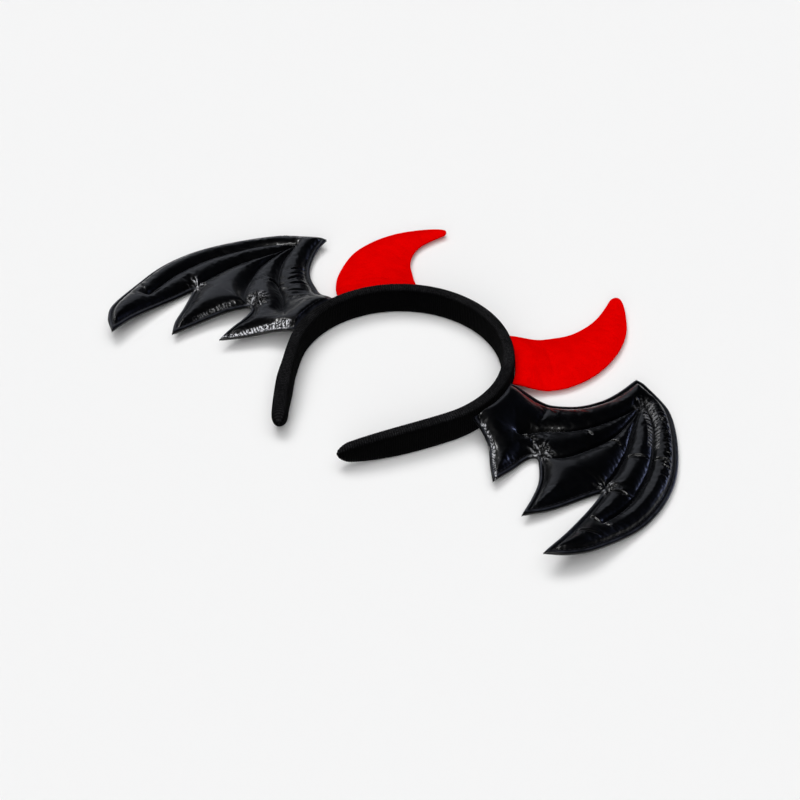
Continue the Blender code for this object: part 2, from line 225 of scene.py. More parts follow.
def ease(share):
    """Smooth step from 0 to 1."""
    share = np.clip(share, 0.0, 1.0)
    return share * share * (3.0 - 2.0 * share)


def swell(share):
    """Quarter-round rise from 0 to 1."""
    share = np.clip(share, 0.0, 1.0)
    return np.sqrt(1.0 - (1.0 - share) ** 2)


def band_station(distance):
    """Plan point and outward normal of the band's middle line, measured from the crown."""
    side = -1.0 if distance < 0.0 else 1.0
    distance = abs(distance)
    angle = min(distance, ROUND_LENGTH) / BAND_RADIUS
    x = BAND_RADIUS * math.sin(angle)
    y = BAND_RADIUS * math.cos(angle)
    if distance > ROUND_LENGTH:
        bow = (distance - ROUND_LENGTH) / BAND_LEG_RADIUS
        x += BAND_LEG_RADIUS * (math.sin(angle + bow) - math.sin(angle))
        y += BAND_LEG_RADIUS * (math.cos(angle + bow) - math.cos(angle))
        angle += bow
    return Vector((side * x, y)), Vector((side * math.sin(angle), math.cos(angle)))


def rounded_off(value, squareness):
    """A sine or cosine bent so that a circle made with it turns into a squarer shape."""
    return math.copysign(abs(value) ** (2.0 / squareness), value)


def band_ring(distance):
    """Places round the sleeve at one distance along it."""
    left = HALF_BAND - abs(distance)
    height = BAND_TIP_HEIGHT + (BAND_HEIGHT - BAND_TIP_HEIGHT) * swell(left / BAND_TAPER_LENGTH)
    closing = swell(left / BAND_TIP_RUN)
    squareness = [
        BAND_TIP_ROUNDNESS + (square - BAND_TIP_ROUNDNESS) * float(ease(left / BAND_TAPER_LENGTH))
        for square in BAND_SQUARENESS
    ]
    point, normal = band_station(distance)
    near_end = float(ease(1.5 - abs(left - LEG_FULL_PLACE) / LEG_FULL_PLACE))
    fullness = 1.0 + (LEG_FULLNESS[math.copysign(1.0, distance)] - 1.0) * near_end
    ring = []
    for index in range(BAND_RING_POINTS):
        turn = 2.0 * math.pi * index / BAND_RING_POINTS
        across = rounded_off(math.cos(turn), squareness[0])
        up = rounded_off(math.sin(turn), squareness[1])
        place = point + normal * across * closing * (fullness * BAND_THICKNESS / 2.0 - RIB_DEPTH)
        rise = BAND_HEIGHT / 2.0 + up * closing * (height / 2.0 - RIB_DEPTH)
        ring.append((place.x, place.y + BAND_CENTRE.y, rise))
    return ring


def knit_sleeve():
    """Closed sleeve; every point keeps its distance along it and how near an edge it is, where the
    fuzz is painted paler as painted light.
    """
    count = round(2.0 * HALF_BAND / (RIB_PITCH / RIB_SAMPLES))
    reach = HALF_BAND - BAND_TIP_GAP
    shape = bmesh.new()
    along = shape.verts.layers.float.new("along")
    painted_light = shape.verts.layers.float.new("painted_light")
    rings = []
    for step in range(count + 1):
        distance = reach * (2.0 * step / count - 1.0)
        ring = []
        for index, place in enumerate(band_ring(distance)):
            vert = shape.verts.new(place)
            vert[along] = distance
            # Painted light: the fuzz is painted paler towards the sleeve's top and bottom edges.
            steep = abs(math.sin(2.0 * math.pi * index / BAND_RING_POINTS))
            vert[painted_light] = float(ease((steep - PAINTED_LIGHT_START) / PAINTED_LIGHT_RUN))
            ring.append(vert)
        rings.append(ring)
    for ring, following in zip(rings, rings[1:]):
        for i in range(len(ring)):
            j = (i + 1) % len(ring)
            shape.faces.new((ring[i], ring[j], following[j], following[i]))
    for ring, distance in ((rings[0], -reach), (rings[-1], reach)):
        middle = sum((vert.co for vert in ring), Vector()) / len(ring)
        tip = shape.verts.new(middle)
        tip[along] = distance
        tip[painted_light] = 1.0
        for i in range(len(ring)):
            shape.faces.new((ring[i], ring[(i + 1) % len(ring)], tip))
    bmesh.ops.recalc_face_normals(shape, faces=shape.faces)
    mesh = as_mesh("knit_sleeve", shape)
    mesh.shade_smooth()
    return mesh


def node_output(tree, kind, inputs=None, label=0, **settings):
    """Output of a new node that gets the given inputs, with settings for its own fields."""
    node = tree.nodes.new(kind)
    set_fields(node, **settings)
    feed(tree, node, inputs or {})
    return node.outputs[label]


def new_tree(name, numbers, material):
    """Geometry Nodes tree whose inputs are a geometry, some numbers and a material."""
    tree = bpy.data.node_groups.new(name, "GeometryNodeTree")
    sockets = [("Geometry", "NodeSocketGeometry")]
    sockets += [(label, "NodeSocketFloat") for label in numbers]
    for label, kind in sockets + [(material, "NodeSocketMaterial")]:
        tree.interface.new_socket(label, in_out="INPUT", socket_type=kind)
    tree.interface.new_socket("Geometry", in_out="OUTPUT", socket_type="NodeSocketGeometry")
    return tree, tree.nodes.new("NodeGroupInput").outputs


def finish_tree(tree, geometry, material):
    """Makes the geometry real, gives it the material and sends it out."""
    real = node_output(tree, "GeometryNodeRealizeInstances", {"Geometry": geometry})
    inputs = {"Geometry": real, "Material": material}
    painted = node_output(tree, "GeometryNodeSetMaterial", inputs)
    feed(tree, tree.nodes.new("NodeGroupOutput"), {"Geometry": painted})


def calculate(tree, operation, first, second=None):
    """Math node on sockets or numbers; returns its result."""
    return node_output(tree, "ShaderNodeMath", {0: first, 1: second}, operation=operation)


def times(tree, *values):
    """Product of sockets or numbers, taken in turn."""
    product = values[0]
    for value in values[1:]:
        product = calculate(tree, "MULTIPLY", product, value)
    return product


def rib_tree():
    """Raises rounded ribs along the normals, by the distance along the sleeve."""
    tree, given = new_tree("knit_ribs", ("Pitch", "Depth", "Waver"), "Cover")
    inputs = {"Name": "along"}
    along = node_output(
        tree, "GeometryNodeInputNamedAttribute", inputs, label="Attribute", data_type="FLOAT"
    )
    noise = node_output(tree, "ShaderNodeTexNoise", {"Scale": 180.0, "Detail": 2.0})
    turns = calculate(tree, "DIVIDE", along, given["Pitch"])
    turns = calculate(tree, "ADD", turns, times(tree, noise, given["Waver"]))
    wave = calculate(tree, "SINE", times(tree, turns, math.pi))
    rounded = calculate(tree, "POWER", calculate(tree, "ABSOLUTE", wave), 0.75)
    fullness = calculate(tree, "ADD", times(tree, noise, 0.5), 0.75)
    normal = node_output(tree, "GeometryNodeInputNormal")
    inputs = {0: normal, "Scale": times(tree, rounded, fullness, given["Depth"])}
    offset = node_output(tree, "ShaderNodeVectorMath", inputs, operation="SCALE")
    inputs = {"Geometry": given["Geometry"], "Offset": offset}
    moved = node_output(tree, "GeometryNodeSetPosition", inputs)
    finish_tree(tree, moved, given["Cover"])
    return tree


def keep_result(piece, modifier):
    """Keeps what a modifier makes as the piece's plain mesh."""
    result = piece.evaluated_get(bpy.context.evaluated_depsgraph_get())
    mesh = bpy.data.meshes.new_from_object(result)
    piece.modifiers.remove(modifier)
    piece.data = mesh
    mesh.shade_smooth()


def run_tree(obj, tree, values):
    """Runs a tree on an object, with values for its inputs, and keeps the result."""
    modifier = obj.modifiers.new(tree.name, "NODES")
    modifier.node_group = tree
    for item in tree.interface.items_tree:
        if item.item_type == "SOCKET" and item.in_out == "INPUT" and item.name in values:
            modifier[item.identifier] = values[item.name]
    keep_result(obj, modifier)


def noise_field(tree, scale, detail, stretch=(1.0, 1.0, 1.0)):
    """Noise through the object's space, in features per metre; returns its value."""
    place = node_output(tree, "ShaderNodeTexCoord", label="Object")
    place = node_output(tree, "ShaderNodeMapping", {"Scale": stretch, "Vector": place})
    inputs = {"Scale": scale, "Detail": detail, "Vector": place}
    return node_output(tree, "ShaderNodeTexNoise", inputs)


def read_attribute(tree, name):
    return node_output(tree, "ShaderNodeAttribute", label="Fac", attribute_name=name)


def blend_colour(tree, share, low, high):
    """Colour that goes from low to high as the share goes from 0 to 1."""
    inputs = {"Factor": share, "A": low, "B": high}
    return node_output(tree, "ShaderNodeMix", inputs, label="Result", data_type="RGBA")


def spread(tree, value, low, high, to_low, to_high):
    """Value stretched from one range to another, clamped."""
    ends = {"From Min": low, "From Max": high, "To Min": to_low, "To Max": to_high}
    return node_output(tree, "ShaderNodeMapRange", {"Value": value, **ends})


def bump(tree, height, distance, strength):
    """Shading normal bumped by a height."""
    inputs = {"Distance": distance, "Strength": strength, "Height": height}
    return node_output(tree, "ShaderNodeBump", inputs)


def black_ribbed_knit():
    """Dull black yarn: paler fuzz on the crowns of the ribs, painted paler still on the top and
    bottom edges as painted light, fine loops along each rib.
    """
    material, tree = new_material("black_ribbed_knit")
    along = read_attribute(tree, "along")
    crown = calculate(tree, "SINE", times(tree, along, math.pi / RIB_PITCH))
    crown = calculate(tree, "ABSOLUTE", crown)
    fibres = noise_field(tree, 2600.0, 3.0)
    patches = noise_field(tree, 90.0, 2.0)
    fuzz = times(
        tree,
        spread(tree, fibres, 0.42, 0.72, 0.0, 1.0),
        crown,
        spread(tree, patches, 0.3, 0.7, 0.45, 1.0),
        # The fuzz is painted paler on the top and bottom edges: painted light on the band's top.
        spread(tree, read_attribute(tree, "painted_light"), 0.0, 1.0, 0.06, 1.0),
    )
    loops = calculate(tree, "ADD", fibres, times(tree, crown, 0.5))
    inputs = {
        "Base Color": blend_colour(tree, fuzz, KNIT_COLOUR, KNIT_FUZZ),
        "Roughness": spread(tree, fibres, 0.3, 0.7, 0.85, 1.0),
        "Specular IOR Level": 0.02,
        "Sheen Weight": 0.012,
        "Sheen Roughness": 0.45,
        "Normal": bump(tree, loops, 0.25 * MM, 0.8),
    }
    return finish_material(material, inputs)


band_cover = put("band_cover", knit_sleeve())
run_tree(
    band_cover,
    rib_tree(),
    {"Pitch": RIB_PITCH, "Depth": RIB_DEPTH, "Waver": RIB_WAVER, "Cover": black_ribbed_knit()},
)
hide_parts("headband")
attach(band_cover, "root")


# Horns: two layers of red felt sewn together round their edge over a thin filling, and
# sewn by the open end to the band's outer face. A cloth simulation presses each one out
# from its seam, and the felt gets its matted fibres from the material.
HORN_ROOT_DEG = (27.5, 68.4)
HORN_SPREAD = 44.4 * MM
HORN_LENGTH = 87.2 * MM
HORN_EDGE = 1.3 * MM
HORN_PUFF = 1.9 * MM
HORN_PUFF_RUN = 10.0 * MM
HORN_SEAM_ROWS = (0.5 * MM, 1.0 * MM)
HORN_ROOT_SHARE = 0.44
HORN_LIE_HEIGHT = 3.3 * MM
HORN_SINK_RUN = 22.0 * MM
HORN_CELL = 1.5 * MM
HORN_TURN_UP = 0.8
HORN_TURN_OUT = (0.1, 0.6)
HORN_FILLING = {"pressure": 1.5, "slack": 0.005, "stiffness": 12.0, "cap": 1.2 * MM}
CLOTH = {"quality": 6, "mass": 0.1, "bending_stiffness": 0.05, "pin_stiffness": 1.0}
CLOTH_SHEAR_SHARE = 0.4
CLOTH_FRAMES = 16
# The cloth is solved at ten times its size, where the solver is steadier.
CLOTH_SCALE = 10.0
LEAST_HEIGHT = 0.1 * MM
# A place nearer to a line than this lies on it; a quilted seam is creased this sharply.
ON_LINE = 1e-6
SEAM_SHARPNESS = 0.9
HORN_OUTLINE = (
    # out, up: shares of the spread and the length, from the middle of the root
    (-0.104, 0.300), (0.060, 0.382), (0.215, 0.475), (0.306, 0.590),
    (0.334, 0.720), (0.297, 0.855), (0.257, 0.955), (0.310, 1.000),
    (0.425, 0.972), (0.617, 0.862), (0.815, 0.715), (0.950, 0.540),
    (0.990, 0.350), (0.932, 0.170), (0.790, 0.005), (0.560, -0.125),
)
FELT_COLOUR = (0.73, 0.0002, 0.0002, 1.0)
FELT_DEEP = (0.65, 0.0001, 0.0001, 1.0)

# Where a horn's edge was sewn a little in or out: side, place, shift, run.
HORN_PULLS = (
    ("left", (0.900, 0.100), (-1.0 * MM, 0.3 * MM), 26.0 * MM),
    ("left", (0.320, 0.700), (0.7 * MM, 0.0), 20.0 * MM),
    ("left", (0.700, 0.800), (0.5 * MM, 0.5 * MM), 22.0 * MM),
    ("left", (0.270, 0.980), (-0.8 * MM, 0.0), 12.0 * MM),
    ("right", (0.980, 0.420), (-1.0 * MM, 0.0), 34.0 * MM),
)

# The two sides are sewn by hand and differ: the horn's reach and turn, the curl of the
# wing's longest finger, and how far its waist lies over and stands off the surface.
Side = namedtuple("Side", "name sign horn_reach horn_turn_deg finger_curl waist_shift waist_lift")
SIDES = (
    Side("left", -1.0, 0.966, -2.0, 6.0 * MM, 1.5 * MM, 4.5 * MM),
    Side("right", 1.0, 1.034, 2.0, 9.0 * MM, -3.0 * MM, 0.0),
)


def own_rows(side, table):
    """The table's rows for one side, each with its number in the table in place of the side."""
    return [(number, *row[1:]) for number, row in enumerate(table) if row[0] == side.name]


def as_array(points):
    return np.asarray([tuple(point) for point in points])


def smooth_run(points, step):
    """Points about one step apart on a smooth curve through the given ones."""
    points = [Vector(point) for point in points]
    ends = [2.0 * points[0] - points[1]] + points + [2.0 * points[-1] - points[-2]]
    run = []
    for before, start, stop, after in zip(ends, ends[1:], ends[2:], ends[3:]):
        count = max(1, round((stop - start).length / step))
        for index in range(count):
            t = index / count
            place = 2.0 * start + (stop - before) * t
            place += (2.0 * before - 5.0 * start + 4.0 * stop - after) * t**2
            place += (3.0 * start - before - 3.0 * stop + after) * t**3
            run.append(0.5 * place)
    return run + [points[-1]]


def nearest_on(places, line):
    """Distance to a line and the distance along it, for each place."""
    line = as_array(line)
    nearest = np.full(len(places), np.inf)
    along = np.zeros(len(places))
    travelled = 0.0
    for start, stop in zip(line, line[1:]):
        leg = stop - start
        length = max(math.hypot(*leg), 1e-12)
        share = np.clip(((places - start) @ leg) / length**2, 0.0, 1.0)
        gap = np.hypot(*(places - (start + share[:, None] * leg)).T)
        closer = gap < nearest
        nearest[closer] = gap[closer]
        along[closer] = travelled + share[closer] * length
        travelled += length
    return nearest, along


def distance_to_lines(places, lines):
    return np.min([nearest_on(places, line)[0] for line in lines], axis=0)


def inside(places, outline):
    """True for each place that lies inside the closed outline."""
    outline = as_array(outline)
    result = np.zeros(len(places), bool)
    for start, stop in zip(outline, np.roll(outline, -1, axis=0)):
        crosses = (start[1] > places[:, 1]) != (stop[1] > places[:, 1])
        rise = stop[1] - start[1] if stop[1] != start[1] else 1e-18
        at = start[0] + (places[:, 1] - start[1]) / rise * (stop[0] - start[0])
        result ^= crosses & (places[:, 0] < at)
    return result


def lattice(outline, cell):
    """Triangular grid of places over the outline's box."""
    outline = as_array(outline)
    low = outline.min(axis=0)
    high = outline.max(axis=0)
    row_height = cell * math.sqrt(3.0) / 2.0
    places = []
    for row in range(math.ceil((high[1] - low[1]) / row_height) + 1):
        shift = cell / 2.0 if row % 2 else 0.0
        for column in range(math.ceil((high[0] - low[0]) / cell) + 1):
            places.append((low[0] + column * cell + shift, low[1] + row * row_height))
    return np.asarray(places)


def beside(line, offset, closed=False):
    """Points on both sides of a line, each a fixed distance from its own point."""
    first = line[-1] if closed else line[0]
    last = line[0] if closed else line[-1]
    rows = []
    for before, point, after in zip([first] + line, line, line[1:] + [last]):
        along = (after - before).normalized()
        across = Vector((-along.y, along.x)) * offset
        rows += [tuple(point + across), tuple(point - across)]
    return np.asarray(rows)


# A pad cut flat: plan places, triangles between them, the edges of its border, and the
# distances from each place to the edge and to the quilting.
Pad = namedtuple("Pad", "places triangles border from_edge from_quilt")


def cut_pad(outline, quilting, rim_rows, cell, gathered=(), fine_cell=0.0):
    """Plan mesh of a pad between its outline and its lines of quilting.

    Points lie in rows along the rim and beside the quilting and in a grid between them,
    which is finer within reach of each gathered line.
    """
    closed = outline + [outline[0]]
    rim = rim_rows[-1]
    row = 0.45 * cell
    groups = [(beside(outline, offset, True), 0.96 * offset, 0.96 * row) for offset in rim_rows]
    groups += [(beside(line, row), rim + 0.4 * cell, 0.96 * row) for line in quilting]

    def clear_of(places, edge_gap, quilt_gap):
        places = places[inside(places, outline)]
        places = places[distance_to_lines(places, [closed]) > edge_gap]
        if quilting:
            places = places[distance_to_lines(places, quilting) > quilt_gap]
        return places

    kept = np.empty((0, 2))
    for group, edge_gap, quilt_gap in groups:
        for place in clear_of(group, edge_gap, quilt_gap):
            if not len(kept) or np.hypot(*(kept - place).T).min() > 0.4 * cell:
                kept = np.vstack([kept, place])
    gaps = (rim + 0.5 * cell, row + 0.5 * cell)
    grid = clear_of(lattice(outline, cell), *gaps)
    if gathered:
        fine = clear_of(lattice(outline, fine_cell), *gaps)
        near = [nearest_on(fine, line)[0] < reach for line, reach in gathered]
        far = [nearest_on(grid, line)[0] > reach + 0.5 * fine_cell for line, reach in gathered]
        grid = np.vstack([grid[np.all(far, axis=0)], fine[np.any(near, axis=0)]])
    kept = np.vstack([kept, grid])
    points = list(outline)
    edges = []
    for line in quilting:
        first = len(points)
        points += line
        edges += [(first + i, first + i + 1) for i in range(len(line) - 1)]
    points += [Vector(place) for place in kept]
    flat, _, triangles = delaunay_2d_cdt(points, edges, [list(range(len(outline)))], 1, 1e-7)[:3]
    places = as_array(flat)
    turned = []
    for triangle in triangles:
        a, b, c = (places[i] for i in triangle)
        area = (b[0] - a[0]) * (c[1] - a[1]) - (b[1] - a[1]) * (c[0] - a[0])
        turned.append(tuple(triangle) if area > 0.0 else tuple(reversed(triangle)))
    border = set()
    for i, j, k in turned:
        for edge in ((i, j), (j, k), (k, i)):
            border ^= {edge if edge[::-1] not in border else edge[::-1]}
    from_edge = distance_to_lines(places, [closed])
    from_quilt = distance_to_lines(places, quilting) if quilting else np.full(len(places), 1.0)
    return Pad(places, turned, border, from_edge, from_quilt)


def sew_pad(name, pad, top, underside, held, corners=()):
    """Object whose two skins meet at the border; held points go in the group sewn."""
    shape = bmesh.new()
    upper = [shape.verts.new((p[0], p[1], z)) for p, z in zip(pad.places, top)]
    lower = [shape.verts.new((p[0], p[1], z)) for p, z in zip(pad.places, underside)]
    for i, j, k in pad.triangles:
        shape.faces.new((upper[i], upper[j], upper[k]))
        shape.faces.new((lower[k], lower[j], lower[i]))
    for i, j in pad.border:
        shape.faces.new((upper[j], upper[i], lower[i], lower[j]))
    bmesh.ops.recalc_face_normals(shape, faces=shape.faces)
    mesh = as_mesh(name, shape)
    mesh.shade_smooth()
    from_edge = mesh.attributes.new("from_edge", "FLOAT", "POINT")
    from_edge.data.foreach_set("value", np.tile(pad.from_edge, 2))
    on_seam = np.tile(pad.from_quilt < ON_LINE, 2)
    crease = mesh.attributes.new("crease_edge", "FLOAT", "EDGE")
    for edge in mesh.edges:
        if on_seam[edge.vertices[0]] and on_seam[edge.vertices[1]]:
            crease.data[edge.index].value = SEAM_SHARPNESS
    points = mesh.attributes.new("crease_vert", "FLOAT", "POINT")
    for corner in corners:
        nearest = int(np.argmin(np.hypot(*(pad.places - np.asarray(tuple(corner))).T)))
        points.data[nearest].value = 1.0
        points.data[nearest + len(pad.places)].value = 1.0
    piece = put(name, mesh)
    group = piece.vertex_groups.new(name="sewn")
    group.add([int(i) for i in np.flatnonzero(np.tile(held, 2))], 1.0, "REPLACE")
    return piece


def read_values(items, field, width=1):
    """One field of all of a mesh's items, as rows of the given width."""
    values = np.empty(width * len(items))
    items.foreach_get(field, values)
    return values.reshape(-1, width)


def write_points(mesh, points):
    mesh.vertices.foreach_set("co", points.ravel())
    mesh.update()


def press_out(piece, pressure, slack, stiffness, cap):
    """Cloth simulation of the filling: fabric with some slack, held along its seams."""
    start = read_values(piece.data.vertices, "co", 3)
    write_points(piece.data, start * CLOTH_SCALE)
    cloth = piece.modifiers.new("filling", "CLOTH")
    set_fields(cloth.settings, vertex_group_mass="sewn", shrink_min=-slack, **CLOTH)
    set_fields(cloth.settings, tension_stiffness=stiffness, compression_stiffness=stiffness)
    cloth.settings.shear_stiffness = CLOTH_SHEAR_SHARE * stiffness
    set_fields(cloth.settings, use_pressure=True, uniform_pressure_force=pressure)
    cloth.settings.effector_weights.gravity = 0.0
    set_fields(cloth.collision_settings, use_collision=False, use_self_collision=False)
    set_fields(cloth.point_cache, frame_start=1, frame_end=CLOTH_FRAMES)
    for number in range(1, CLOTH_FRAMES + 1):
        bpy.context.scene.frame_set(number)
    result = piece.evaluated_get(bpy.context.evaluated_depsgraph_get())
    moved = read_values(result.data.vertices, "co", 3) / CLOTH_SCALE
    piece.modifiers.remove(cloth)
    bpy.context.scene.frame_set(1)
    shift = moved - start
    length = np.linalg.norm(shift, axis=1)
    shift *= np.minimum(1.0, cap / np.maximum(length, 1e-9))[:, None]
    write_points(piece.data, start + shift)


def press_and_smooth(piece, filling):
    """Presses a pad out and smooths it with a subdivision surface; returns its points."""
    press_out(piece, **filling)
    modifier = piece.modifiers.new("fine", "SUBSURF")
    set_fields(modifier, levels=1, render_levels=1)
    keep_result(piece, modifier)
    return read_values(piece.data.vertices, "co", 3)


def place_on_side(piece, side):
    """Turns a piece over for the left side and moves it to the band's centre."""
    if side.sign < 0.0:
        piece.data.transform(Matrix.Scale(-1.0, 4, Vector((1.0, 0.0, 0.0))))
        piece.data.flip_normals()
    piece.data.transform(Matrix.Translation(BAND_CENTRE))


def band_face(angle_deg):
    """Plan point where a piece is sewn to the band's outer face, its clearance included."""
    point, normal = band_station(BAND_RADIUS * math.radians(angle_deg))
    return point + normal * (BAND_THICKNESS / 2.0 + SEWN_GAP)


def root_run(angles, step):
    """Curve along the band's outer face, from the higher of the two angles to the lower."""
    reach = BAND_RADIUS * math.radians(angles[1] - angles[0])
    count = max(2, round(reach / step))
    return [band_face(angles[1] + (angles[0] - angles[1]) * i / count) for i in range(count + 1)]


def from_band(places):
    """Distance in plan from the band's sewn face."""
    return np.hypot(*places.T) - SEWN_RADIUS


def horn_plan(side):
    """Closed outline of the horn, drawn on the right-hand side."""
    middle = band_face(sum(HORN_ROOT_DEG) / 2.0)
    root_angles = (HORN_ROOT_DEG[0] + side.horn_turn_deg, HORN_ROOT_DEG[1])
    points = [band_face(root_angles[0])]
    for out, up in HORN_OUTLINE:
        stretch = 1.0 + (side.horn_reach - 1.0) * float(ease(up))
        point = middle + Vector((out * HORN_SPREAD, up * stretch * HORN_LENGTH))
        near_crown = (HORN_TURN_OUT[1] - out) / (HORN_TURN_OUT[1] - HORN_TURN_OUT[0])
        share = float(ease(1.0 - up / HORN_TURN_UP) * ease(near_crown))
        point = Matrix.Rotation(-math.radians(side.horn_turn_deg) * share, 2) @ point
        for _, spot, shift, run in own_rows(side, HORN_PULLS):
            away = Vector(((out - spot[0]) * HORN_SPREAD, (up - spot[1]) * HORN_LENGTH)).length
            point += Vector(shift) * float(ease(1.0 - away / run))
        points.append(point)
    points.append(band_face(root_angles[1]))
    return smooth_run(points, HORN_CELL)[:-1] + root_run(root_angles, HORN_CELL)[:-1]


def horn_heights(places, clear):
    sink = ease(1.0 - from_band(places) / HORN_SINK_RUN)
    root_height = HORN_ROOT_SHARE * BAND_HEIGHT
    middle = HORN_LIE_HEIGHT + (root_height - HORN_LIE_HEIGHT) * sink
    half = HORN_EDGE / 2.0 + HORN_PUFF * ease(clear / HORN_PUFF_RUN)
    return middle + half, np.maximum(middle - half, 0.0)


def red_felt():
    """Matted wool fibres: short crossed streaks in the bump, faint cloudy tone."""
    material, tree = new_material("red_felt_cloth")
    cloud = noise_field(tree, 120.0, 3.0)
    one_way = noise_field(tree, 900.0, 2.0, (1.0, 0.22, 1.0))
    other_way = noise_field(tree, 900.0, 2.0, (0.22, 1.0, 1.0))
    fibres = times(tree, calculate(tree, "ADD", one_way, other_way), 0.5)
    tone = calculate(tree, "ADD", times(tree, cloud, 0.6), times(tree, fibres, 0.4))
    tone = spread(tree, tone, 0.36, 0.62, 0.0, 1.0)
    inputs = {
        "Base Color": blend_colour(tree, tone, FELT_DEEP, FELT_COLOUR),
        "Roughness": spread(tree, fibres, 0.35, 0.65, 0.9, 1.0),
        "Specular IOR Level": 0.0,
        "Sheen Weight": 0.05,
        "Sheen Tint": (1.0, 0.0, 0.0, 1.0),
        "Normal": bump(tree, fibres, 0.3 * MM, 0.35),
    }
    return finish_material(material, inputs)


felt = red_felt()
for side in SIDES:
    outline = horn_plan(side)
    pad = cut_pad(outline, [], HORN_SEAM_ROWS, HORN_CELL)
    clear = np.maximum(0.0, pad.from_edge - HORN_SEAM_ROWS[-1])
    top, underside = horn_heights(pad.places, clear)
    horn = sew_pad(f"horn_pad_{side.name}", pad, top, underside, clear <= 0.0)
    points = press_and_smooth(horn, HORN_FILLING)
    points[:, 2] = np.maximum(points[:, 2], LEAST_HEIGHT)
    write_points(horn.data, points)
    place_on_side(horn, side)
    horn.data.materials.append(felt)
    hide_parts(f"horn_{side.name}")
    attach(horn, "root")


# Wings: two layers of black coated fabric over wadding, turned at the edge, topstitched
# round the rim and quilted along lines that fan out from below the thumb. A cloth simulation
# presses the fabric out between the held seams, and its gathers and creases are laid in after.
WING_ROOT_DEG = (73.3, 105.7)
WING_SPAN = 112.0 * MM
WING_LENGTH = 151.5 * MM
WING_DROP = 79.5 * MM
WING_EDGE = 1.2 * MM
WING_RIM_ROWS = (0.7 * MM, 1.5 * MM, 2.2 * MM, 2.8 * MM)
WING_RIM = WING_RIM_ROWS[-1]
WING_ROLL = 0.80 * MM
WING_PUFF = 4.6 * MM
WING_PUFF_RUN = 9.0 * MM
WING_ROOT_SHARE = 0.69
WING_LIE_HEIGHT = 3.0 * MM
WING_SINK_RUN = (26.0 * MM, 42.0 * MM)
WING_CELL = 1.4 * MM
GATHER_CELL = 0.70 * MM
WING_FILLING = {"pressure": 6.0, "slack": 0.01, "stiffness": 15.0, "cap": 2.0 * MM}
WING_OUTLINE = {
    # out, up: shares of the span and the length, in runs that meet at corners
    "thumb": (
        (0.085, 0.679), (0.192, 0.718), (0.290, 0.767), (0.357, 0.835), (0.402, 0.920),
        (0.424, 1.000),
    ),
    "leading_edge": (
        (0.490, 0.993), (0.665, 0.931), (0.844, 0.770), (0.968, 0.592), (1.000, 0.395),
        (0.940, 0.155), (0.862, 0.056), (0.759, 0.000),
    ),
    "long_finger": ((0.765, 0.125), (0.752, 0.270), (0.719, 0.426)),
    "middle_finger": ((0.655, 0.322), (0.596, 0.222), (0.527, 0.148)),
    "inner_arch": (
        (0.488, 0.242), (0.440, 0.333), (0.385, 0.402), (0.339, 0.442), (0.307, 0.405),
        (0.300, 0.310), (0.290, 0.226),
    ),
    "inner_lobe": ((0.215, 0.280), (0.130, 0.350), (0.062, 0.382)),
}
WING_FAN_POINT = (0.540, 0.905)
WING_QUILTING = {
    "long_finger": ((0.665, 0.816), (0.763, 0.698), (0.835, 0.580), (0.869, 0.423), (0.853, 0.272)),
    "outer_notch": ((0.585, 0.797), (0.652, 0.679), (0.701, 0.554), (0.719, 0.426)),
    "inner_notch": ((0.558, 0.790), (0.552, 0.672), (0.478, 0.535), (0.400, 0.462), (0.339, 0.442)),
    "root": ((0.496, 0.784), (0.433, 0.695), (0.362, 0.630), (0.268, 0.574), (0.183, 0.495)),
}
WING_TIPS = (
    # the run that ends at the tip, how far the tip lifts and over what run
    ("thumb", 2.5 * MM, 25.0 * MM),
    ("middle_finger", 2.5 * MM, 30.0 * MM),
    ("inner_arch", 2.5 * MM, 25.0 * MM),
)
WING_LONG_TIP = WING_OUTLINE["leading_edge"][-1]
WING_CURL_RUN = 58.0 * MM
WING_CURL_START = 0.66
WING_WAIST = (0.310, 0.607)
WING_WAIST_RUN = 58.0 * MM
WING_LIFT_PLACE = (0.360, 0.400)
WING_LIFT_RUN = 42.0 * MM

# Where the hand-sewn edge is pulled out or in: side, place, shift, run.
PULLS = (
    ("left", (0.900, 0.100), (0.5 * MM, 0.0), 45.0 * MM),
    ("left", (1.000, 0.400), (0.8 * MM, 0.0), 35.0 * MM),
    ("left", (0.240, 0.740), (0.0, 0.7 * MM), 16.0 * MM),
    ("left", (0.395, 0.900), (0.6 * MM, 0.0), 14.0 * MM),
    ("right", (0.800, 0.800), (0.9 * MM, 0.6 * MM), 50.0 * MM),
    ("right", (0.620, 0.960), (0.6 * MM, 0.5 * MM), 24.0 * MM),
    ("right", (0.290, 0.226), (-1.2 * MM, -1.0 * MM), 22.0 * MM),
    ("right", (0.527, 0.148), (-1.3 * MM, -1.0 * MM), 26.0 * MM),
    ("right", (0.750, 0.240), (-1.4 * MM, 0.0), 26.0 * MM),
    ("right", (0.960, 0.180), (-0.7 * MM, 0.3 * MM), 34.0 * MM),
)
